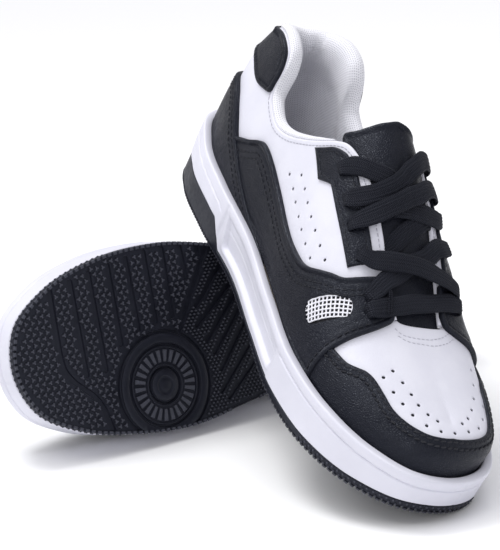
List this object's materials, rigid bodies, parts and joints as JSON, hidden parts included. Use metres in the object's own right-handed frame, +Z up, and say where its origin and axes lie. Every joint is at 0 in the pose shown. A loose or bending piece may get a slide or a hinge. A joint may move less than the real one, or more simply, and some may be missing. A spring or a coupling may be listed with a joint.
{
  "type": "cheer shoes",
  "caption": "Pair of low-cut lace-up cheer shoes with cup soles, panelled leather uppers, padded collars and hinged tongues; one stands tilted on the other.",
  "frame": {"origin": "centre of the pair's bounding box, on the floor it stands on", "axes": "+Z up; +Y the way the lying left shoe's opening faces, away from its sole; +X along the left shoe from its toe to its heel"},
  "size_m": [0.2819, 0.3071, 0.2042],
  "materials": {
    "white_leather": "fine-grained white synthetic leather, satin",
    "black_leather": "grained black synthetic leather, satin",
    "white_sole": "moulded white cup sole, satin",
    "black_rubber": "textured black rubber, matte",
    "white_lining": "white air-mesh textile over foam",
    "white_net": "open square white net",
    "board": "fibre board and stiffener sheet",
    "black_lace": "flat woven lace, ribbed lengthwise"
  },
  "bodies": {
    "left_shoe": {"left_outsole": "black_rubber", "left_midsole": "white_sole", "left_insole_board": "board", "left_sockliner": "white_lining", "left_lateral_quarter": "white_leather", "left_medial_quarter": "white_leather", "left_vamp": "white_leather", "left_toe_cap": "black_leather", "left_lateral_overlay": "black_leather", "left_medial_overlay": "black_leather", "left_heel_foxing": "black_leather", "left_heel_tab": "black_leather", "left_lateral_eyestay": "black_leather", "left_medial_eyestay": "black_leather", "left_lateral_vent_net": "white_net", "left_medial_vent_net": "white_net", "left_heel_counter": "board", "left_toe_puff": "board", "left_quarter_lining": "white_lining", "left_vamp_lining": "white_lining", "left_collar_padding": "white_lining", "left_lace": "black_lace"},
    "left_tongue": {"left_tongue_face": "black_leather", "left_tongue_padding": "white_lining"},
    "right_shoe": {"right_outsole": "black_rubber", "right_midsole": "white_sole", "right_insole_board": "board", "right_sockliner": "white_lining", "right_lateral_quarter": "white_leather", "right_medial_quarter": "white_leather", "right_vamp": "white_leather", "right_toe_cap": "black_leather", "right_lateral_overlay": "black_leather", "right_medial_overlay": "black_leather", "right_heel_foxing": "black_leather", "right_heel_tab": "black_leather", "right_lateral_eyestay": "black_leather", "right_medial_eyestay": "black_leather", "right_lateral_vent_net": "white_net", "right_medial_vent_net": "white_net", "right_heel_counter": "board", "right_toe_puff": "board", "right_quarter_lining": "white_lining", "right_vamp_lining": "white_lining", "right_collar_padding": "white_lining", "right_lace": "black_lace"},
    "right_tongue": {"right_tongue_face": "black_leather", "right_tongue_padding": "white_lining"}
  },
  "joints": [
    {"name": "right_shoe_lift", "type": "slide", "parent": "left_shoe", "child": "right_shoe", "axis": [0, 0, 1], "range_m": [0, 0.2]},
    {"name": "right_tongue_hinge", "type": "hinge", "parent": "right_shoe", "child": "right_tongue", "pos_m": [-0.00832, -0.10068, 0.07295], "axis": [-0.9587, 0.1593, 0.2359], "range_deg": [0, 12], "stiffness_Nm_per_rad": 0.2, "springref_deg": -2.86},
    {"name": "left_tongue_hinge", "type": "hinge", "parent": "left_shoe", "child": "left_tongue", "pos_m": [-0.06601, 0.08742, 0.03712], "axis": [-0.0415, -0.2177, -0.9751], "range_deg": [0, 12], "stiffness_Nm_per_rad": 0.2, "springref_deg": -2.86}
  ]
}
